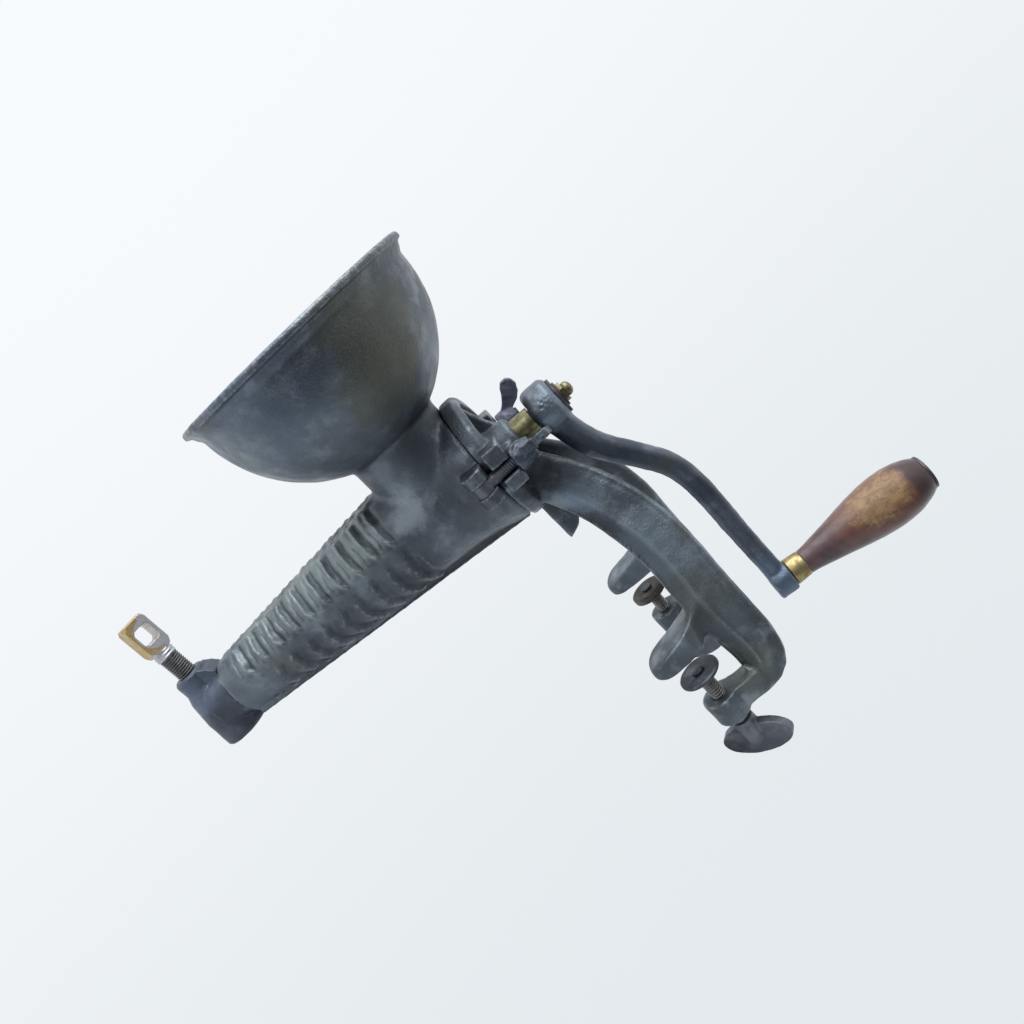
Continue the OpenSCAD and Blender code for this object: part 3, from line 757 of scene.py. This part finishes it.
def make_stand():
    obj = copy_of("clamp_stand", "stand")
    skin_over(obj, 0.85)
    relax(obj, 5)
    p = in_shaft_frame(get_points(obj))
    # the castings' inner corners are well rounded below the plate
    legs = 1 - soft_step(p[:, 2], -70, -52)
    threaded = np.hypot(p[:, 0] - SCREW_X, np.abs(p[:, 1]) - SCREW_Y) < 14
    relax(obj, 14, (0.35 + 0.65 * legs) * ~threaded, keep_size=False)
    # the jaws are rounded like thumbs and run into the legs in a soft fillet
    jaw = soft_step(p[:, 2], -166, -160) * (1 - soft_step(p[:, 2], -140, -130)) * (p[:, 0] < 74)
    relax(obj, 22, jaw, keep_size=False)
    p = in_shaft_frame(get_points(obj))
    root = np.exp(-((p[:, 0] - 77) / 9) ** 2 - ((p[:, 2] + 143) / 13) ** 2)
    relax(obj, 60, np.clip(1.6 * root, 0, 1), keep_size=False)
    p, stain_and_shade = shape_legs(in_shaft_frame(get_points(obj)))
    set_points(obj, in_row_frame(p))
    relax(obj, 5)
    uneven(obj, 0.14, 12, 5)
    mark_relief(obj)
    # painted shade on the legs
    mark_stain_and_shade(obj, stain_and_shade)
    smooth_shade(obj)
    finish_piece(obj, stand_iron, "press", "tinned_iron", "stand")


make_stand()


# ---------------------------------------------------------------- cast pieces with rounded edges

PIT_DEPTH = 0.3
PIT_SIZE = 2.6


def make_cast(name, node, body, slot, material, voxel, rounds, depth, seed, lumps=9, pitted=None):
    """A CAD node with rounded edges and a slight unevenness, and pits round a point if one is given.

    More rounds of smoothing give rounder edges, and from 10 the thin parts shrink a little too.
    """
    obj = copy_of(name, node)
    skin_over(obj, voxel)
    relax(obj, rounds, keep_size=rounds < 10)
    uneven(obj, depth, lumps, seed)
    if pitted:
        away = np.linalg.norm(in_shaft_frame(get_points(obj)) - np.array(pitted), axis=1)
        uneven(obj, PIT_DEPTH, PIT_SIZE, seed + 40, 1 - soft_step(away, 4, 9))
    mark_relief(obj)
    smooth_shade(obj)
    finish_piece(obj, material, body, slot, node)


make_cast("crank_casting", "crank_arm", "crank", "tinned_iron", crank_iron, 0.75, 12, 0.14, 7,
          pitted=HUB_FACE)
make_cast("outlet_elbow", "outlet_nozzle", "press", "dark_iron", dark_iron, 0.6, 5, 0.14, 8)
make_cast("auger_worm", "auger", "crank", "steel", tinned_iron, 0.7, 3, 0.05, 9)
make_cast("juice_strainer", "strainer_plate", "press", "dark_iron", dark_iron, 0.4, 1, 0.02, 10)
make_cast("wing_nut_near_cast", "wing_nut_near", "near_nut", "dark_iron", crank_iron, 0.4, 12, 0.25, 11, 5)
make_cast("wing_nut_far_cast", "wing_nut_far", "far_nut", "dark_iron", lilac_iron, 0.4, 12, 0.15, 12, 6)
make_cast("clamp_pad_near_disc", "clamp_pad_near", "near_pad", "dark_iron", screw_iron, 0.35, 3, 0.04, 13)
make_cast("clamp_pad_far_disc", "clamp_pad_far", "far_pad", "dark_iron", pad_iron, 0.35, 3, 0.04, 14)
make_cast("turned_grip", "handle_grip", "grip", "wood", wood, 0.7, 6, 0.05, 15)
make_cast("ferrule_band", "handle_ferrule", "grip", "brass", bright_brass, 0.3, 2, 0.04, 16)
make_cast("grip_end_plate", "handle_washer", "grip", "dark_iron", washer_steel, 0.2, 1, 0.0, 17)
make_cast("bush_sleeve", "bearing_bush", "press", "brass", brass, 0.4, 2, 0.02, 18)
make_cast("crank_nut_hex", "crank_nut", "crank", "brass", bronze, 0.25, 2, 0.02, 19)
make_cast("cap_nut_dome", "cap_nut", "crank", "brass", bronze, 0.25, 2, 0.02, 20)
make_cast("crank_washer_ring", "crank_washer", "crank", "dark_iron", washer_steel, 0.25, 1, 0.02, 21)
make_cast("lock_washer_ring", "lock_washer", "crank", "dark_iron", washer_steel, 0.22, 1, 0.02, 22)
make_cast("handle_pin_rivet", "handle_pin", "crank", "steel", washer_steel, 0.2, 1, 0.0, 23)


def recolour(node, material):
    """Keeps a CAD node as it is, with a material of its own."""
    nodes[node].data.materials.clear()
    nodes[node].data.materials.append(material)


recolour("thrust_washer", brass)
recolour("swing_pin_near", screw_iron)
recolour("swing_pin_far", screw_iron)


# ---------------------------------------------------------------- threaded pieces

THREAD_SIDES = 40
THREAD_ROWS = 10


def thread_mesh(name, start, direction, length, radius, pitch, depth):
    """A closed rod with a helical thread, from a point in the shaft frame along a unit direction."""
    direction = Vector(direction).normalized()
    side = direction.orthogonal().normalized()
    other = direction.cross(side)
    rows = int(length / pitch * THREAD_ROWS) + 1
    points = []
    for j in range(rows):
        z = length * j / (rows - 1)
        for i in range(THREAD_SIDES):
            angle = 2 * math.pi * i / THREAD_SIDES
            phase = (z / pitch - i / THREAD_SIDES) % 1.0
            fade = min(z, length - z, pitch) / pitch
            r = radius - depth * fade * (1 - abs(2 * phase - 1)) ** 1.2
            offset = direction * z + (side * math.cos(angle) + other * math.sin(angle)) * r
            points.append(spot(*start) + offset * MM)
    faces = band_faces(rows, THREAD_SIDES, flipped=True)
    faces.append(tuple(range(THREAD_SIDES))[::-1])
    last = (rows - 1) * THREAD_SIDES
    faces.append(tuple(last + i for i in range(THREAD_SIDES)))
    return mesh_from(name, points, faces)


def thread_piece(name, mesh, material, body, slot):
    """A thread as a piece of its own, round the rod of another piece."""
    rod = new_object(name, mesh)
    smooth_shade(rod, 50)
    finish_piece(rod, material, body, slot)


def slimmed(obj, start, direction, low, high, radius, slim):
    """Draws a rod's wall in to the radius slim where its thread will be, between low and high."""
    points = in_shaft_frame(get_points(obj)) - np.array(start, float)
    axis = np.array(direction, float)
    along = points @ axis
    across = points - along[:, None] * axis
    r = np.linalg.norm(across, axis=1)
    wall = (np.abs(r - radius) < 0.12) & (along > low - 0.01) & (along < high + 0.01)
    across[wall] *= slim / radius
    points = along[:, None] * axis + across + np.array(start, float)
    set_points(obj, in_row_frame(points))


SCREW_R = 5
SCREW_BOTTOM = -238
SCREW_TOP = -178
WING_HEIGHT = 17
BOLT_R = 4
BOLT_Y = 49.5
BOLT_END = (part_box("swing_bolt_near")[1].x - BOWL_X) / MM
BOLT_SHANK = 35
ROOT_DEPTH = 0.7


def make_clamp_screw(side, sign, body):
    y = sign * SCREW_Y
    start = SCREW_BOTTOM + WING_HEIGHT
    obj = copy_of(f"thumb_screw_{side}", f"clamp_screw_{side}")
    slimmed(obj, (SCREW_X, y, 0), (0, 0, 1), start + 1, SCREW_TOP, SCREW_R, SCREW_R - ROOT_DEPTH)
    skin_over(obj, 0.45)
    relax(obj, 6)
    uneven(obj, 0.08, 8, 30)
    thread = thread_mesh("thread", (SCREW_X, y, start), (0, 0, 1), SCREW_TOP - start, SCREW_R, 2.0, 0.9)
    # the thread is brighter than the rod: worn steel and a painted highlight
    thread_piece(f"screw_thread_{side}", thread, worn_thread_and_highlight, body, "dark_iron")
    mark_relief(obj, 6, 0.25)
    smooth_shade(obj)
    finish_piece(obj, screw_iron, body, "dark_iron", f"clamp_screw_{side}")


def make_swing_bolt(side, sign, body):
    y = sign * BOLT_Y
    obj = copy_of(f"eye_bolt_{side}", f"swing_bolt_{side}")
    slimmed(obj, (0, y, 0), (1, 0, 0), BOLT_SHANK + 1, BOLT_END, BOLT_R, BOLT_R - ROOT_DEPTH)
    length = BOLT_END - BOLT_SHANK
    join_into(obj, thread_mesh("thread", (BOLT_SHANK, y, 0), (1, 0, 0), length, BOLT_R, 1.7, 0.65))
    smooth_shade(obj, 40)
    finish_piece(obj, bolt_steel, body, "steel", f"swing_bolt_{side}")


make_clamp_screw("near", -1, "near_screw")
make_clamp_screw("far", 1, "far_screw")
make_swing_bolt("near", -1, "near_bolt")
make_swing_bolt("far", 1, "far_bolt")


# ---------------------------------------------------------------- regulating screw

REGULATOR_X = -213.5
REGULATOR_R = 7
THREAD_BOTTOM = 6
THREAD_LENGTH = 43
COLLAR_BOTTOM = 48.5
COLLAR_HEIGHTS = (49.3, 51.6)
COLLAR_THICK = 0.85
RING_SIDES = 64
RING_SECTION = 12
HEAD_TURN = 50
WINDOW_Z = 69


def cut_head(obj):
    """Keeps only the screw's head, from just under its collars up."""
    shell = bmesh.new()
    shell.from_mesh(obj.data)
    bmesh.ops.bisect_plane(shell, geom=shell.verts[:] + shell.edges[:] + shell.faces[:],
                           plane_co=spot(0, 0, COLLAR_BOTTOM), plane_no=(0, 0, -1), clear_outer=True)
    rim = [e for e in shell.edges if e.is_boundary]
    bmesh.ops.holes_fill(shell, edges=rim)
    shell.to_mesh(obj.data)
    shell.free()


def ring_mesh(name, centre, radius, thick):
    """A closed ring round the vertical."""
    points = []
    for j in range(RING_SIDES):
        a = 2 * math.pi * j / RING_SIDES
        for i in range(RING_SECTION):
            b = 2 * math.pi * i / RING_SECTION
            r = radius + thick * math.cos(b)
            points.append(spot(centre[0] + r * math.cos(a), centre[1] + r * math.sin(a),
                               centre[2] + thick * math.sin(b)))
    return mesh_from(name, points, band_faces(RING_SIDES, RING_SECTION, closed=True))


def head_stain(obj):
    """The turned sides of the head are yellowed, and its sawn flats and its window are bright."""
    turn = math.radians(HEAD_TURN)
    facing = get_normals(obj) @ np.array((-math.sin(turn), math.cos(turn), 0))
    place = in_shaft_frame(get_points(obj))
    wide = (place[:, 0] - REGULATOR_X) * math.cos(turn) + place[:, 1] * math.sin(turn)
    outside_saw = soft_step(np.hypot(wide - 3.5, place[:, 2] - 68), 11.2, 11.7) * (wide < 3) * (facing < 0)
    turned_side = np.maximum(1 - soft_step(np.abs(facing), 0.75, 0.95), outside_saw)
    turned_side *= np.where(np.hypot(wide, place[:, 2] - WINDOW_Z) < 8, 0.35, 1.0)
    return turned_side * soft_step(place[:, 2], 54, 57)


def make_regulator():
    obj = copy_of("regulator_head", "regulating_screw")
    thread = thread_mesh("thread", (REGULATOR_X, 0, THREAD_BOTTOM), (0, 0, 1), THREAD_LENGTH,
                         REGULATOR_R, 1.75, 0.8)
    thread_piece("regulator_thread", thread, thread_steel, "regulator", "steel")
    cut_head(obj)
    join_into(obj, *[ring_mesh("collar", (REGULATOR_X, 0, z), REGULATOR_R - 0.2, COLLAR_THICK)
                     for z in COLLAR_HEIGHTS])
    skin_over(obj, 0.35)
    relax(obj, 3)
    mark_relief(obj, 6, 0.25)
    mark_stain_and_shade(obj, head_stain(obj))
    smooth_shade(obj)
    finish_piece(obj, steel, "regulator", "steel", "regulating_screw")


make_regulator()


# ---------------------------------------------------------------- camera

CAMERA_PLACE = spot(102.72, -565.81, 125.16)
CAMERA_RIGHT = Vector((0.73753, -0.08644, -0.66976))
CAMERA_UP = Vector((0.66145, 0.29242, 0.69064))
FOCAL_SHARE = 900 / 1024
SENSOR = 36

camera = bpy.data.objects.new("camera", bpy.data.cameras.new("camera"))
bpy.context.scene.collection.objects.link(camera)
right = CAMERA_RIGHT.normalized()
back = right.cross(CAMERA_UP).normalized()
up = back.cross(right)
turned = Matrix((right, up, back)).transposed()
camera.matrix_world = Matrix.Translation(CAMERA_PLACE) @ turned.to_4x4()
camera.data.sensor_width = SENSOR
camera.data.lens = SENSOR * FOCAL_SHARE
camera.data.clip_start = 0.01
camera.data.clip_end = 50
bpy.context.scene.camera = camera
bpy.context.scene.view_settings.view_transform = "Standard"


# ---------------------------------------------------------------- floor and light

FLOOR_R = 0.6
FLOOR_RINGS = 12
FLOOR_SIDES = 64


def rest_plane():
    """The floor's normal, and how far along it the floor lies.

    The press rests on its nozzle and on one clamp screw, so the floor is tilted in the row frame.
    """
    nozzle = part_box("outlet_nozzle")[0]
    low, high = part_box("clamp_screw_near")
    run = (low.x + high.x) / 2 - nozzle.x
    drop = nozzle.z - low.z
    normal = Vector((drop, 0.08 * run, run)).normalized()
    lowest = min(min(np.array([v.co[:] for v in piece.data.vertices]) @ np.array(normal))
                 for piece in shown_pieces() if piece.type == "MESH")
    return normal, lowest


def disc_mesh(name, radius):
    """A flat disc in rings, so that it has no long thin faces."""
    points = [(0.0, 0.0, 0.0)]
    for k in range(1, FLOOR_RINGS + 1):
        for i in range(FLOOR_SIDES):
            angle = 2 * math.pi * i / FLOOR_SIDES
            reach = radius * k / FLOOR_RINGS
            points.append((reach * math.cos(angle), reach * math.sin(angle), 0.0))
    faces = [(0, 1 + i, 1 + (i + 1) % FLOOR_SIDES) for i in range(FLOOR_SIDES)]
    return mesh_from(name, points, faces + band_faces(FLOOR_RINGS, FLOOR_SIDES, first=1))


normal, level = rest_plane()
middle = (cad_box[0] + cad_box[1]) / 2
foot = middle + normal * (level - middle.dot(normal))

# A white sheet lights the press from below. The camera doesn't see it, so that it hides nothing when
# the press is looked at from its other side.
floor = new_object("floor", disc_mesh("floor", FLOOR_R))
floor.matrix_world = Matrix.Translation(foot) @ normal.to_track_quat("Z", "Y").to_matrix().to_4x4()
floor.visible_camera = False
floor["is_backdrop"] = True


def make_floor_material():
    """Pale matt paper that fades out at its edge."""
    s = Shader("pale_floor")
    fade = s.step(s.nearness((0, 0, 0), (1, 1, 1)), FLOOR_R * 0.45, FLOOR_R * 0.95)
    s.surface.inputs["Base Color"].default_value = (0.41, 0.43, 0.445, 1)
    s.surface.inputs["Roughness"].default_value = 0.8
    s.surface.inputs["Specular IOR Level"].default_value = 0.1
    s.surface.inputs["Emission Color"].default_value = (0.95, 0.98, 1.0, 1)
    s.surface.inputs["Emission Strength"].default_value = 0.3
    clear = s.tree.nodes.new("ShaderNodeBsdfTransparent")
    blend = s.tree.nodes.new("ShaderNodeMixShader")
    s.feed(blend.inputs[0], fade)
    s.feed(blend.inputs[1], s.surface.outputs[0])
    s.feed(blend.inputs[2], clear.outputs[0])
    s.feed(s.tree.nodes["Material Output"].inputs["Surface"], blend.outputs[0])
    return s.material


floor.data.materials.append(make_floor_material())


# ---------------------------------------------------------------- surround and light

BACKDROP_LOW = (0.78, 0.82, 0.85, 1)
BACKDROP_HIGH = (0.93, 0.96, 0.99, 1)
WALLS = (1.06, 1.08, 1.11, 1)
OPENING = (0.12, 0.13, 0.145, 1)


def make_world():
    """A pale backdrop for the camera, and white walls with a dark opening that light the press."""
    world = bpy.data.worlds.new("pale_studio")
    world.use_nodes = True
    tree = world.node_tree
    way = tree.nodes.new("ShaderNodeTexCoord").outputs["Generated"]

    def toward(direction, low, high, start, end):
        """A colour that goes from start to end as the way turns towards a direction."""
        product = tree.nodes.new("ShaderNodeVectorMath")
        product.operation = "DOT_PRODUCT"
        tree.links.new(way, product.inputs[0])
        product.inputs[1].default_value = direction
        ramp = tree.nodes.new("ShaderNodeMix")
        ramp.data_type = "RGBA"
        ramp.inputs[6].default_value = start
        ramp.inputs[7].default_value = end
        spread = tree.nodes.new("ShaderNodeMapRange")
        spread.interpolation_type = "SMOOTHSTEP"
        spread.inputs["From Min"].default_value = low
        spread.inputs["From Max"].default_value = high
        tree.links.new(product.outputs["Value"], spread.inputs["Value"])
        tree.links.new(spread.outputs[0], ramp.inputs[0])
        return ramp.outputs[2]

    seen = toward((up - right).normalized(), -0.5, 0.6, BACKDROP_LOW, BACKDROP_HIGH)
    opening = (back * 0.8 - up * 0.42 + right * 0.42).normalized()
    lighting = toward(opening, 0.15, 0.95, WALLS, OPENING)
    choose = tree.nodes.new("ShaderNodeMix")
    choose.data_type = "RGBA"
    tree.links.new(tree.nodes.new("ShaderNodeLightPath").outputs["Is Camera Ray"], choose.inputs[0])
    tree.links.new(lighting, choose.inputs[6])
    tree.links.new(seen, choose.inputs[7])
    tree.links.new(choose.outputs[2], tree.nodes["Background"].inputs["Color"])
    return world


bpy.context.scene.world = make_world()


def area_light(name, place, target, size, power):
    data = bpy.data.lights.new(name, "AREA")
    data.shape = "DISK"
    data.size = size
    data.energy = power
    lamp = new_object(name, data)
    lamp.location = place
    lamp.rotation_mode = "QUATERNION"
    lamp.rotation_quaternion = (place - target).to_track_quat("Z", "Y")


area_light("key", middle + up * 1.0 - right * 0.5 + back * 0.4, middle, 1.5, 17)
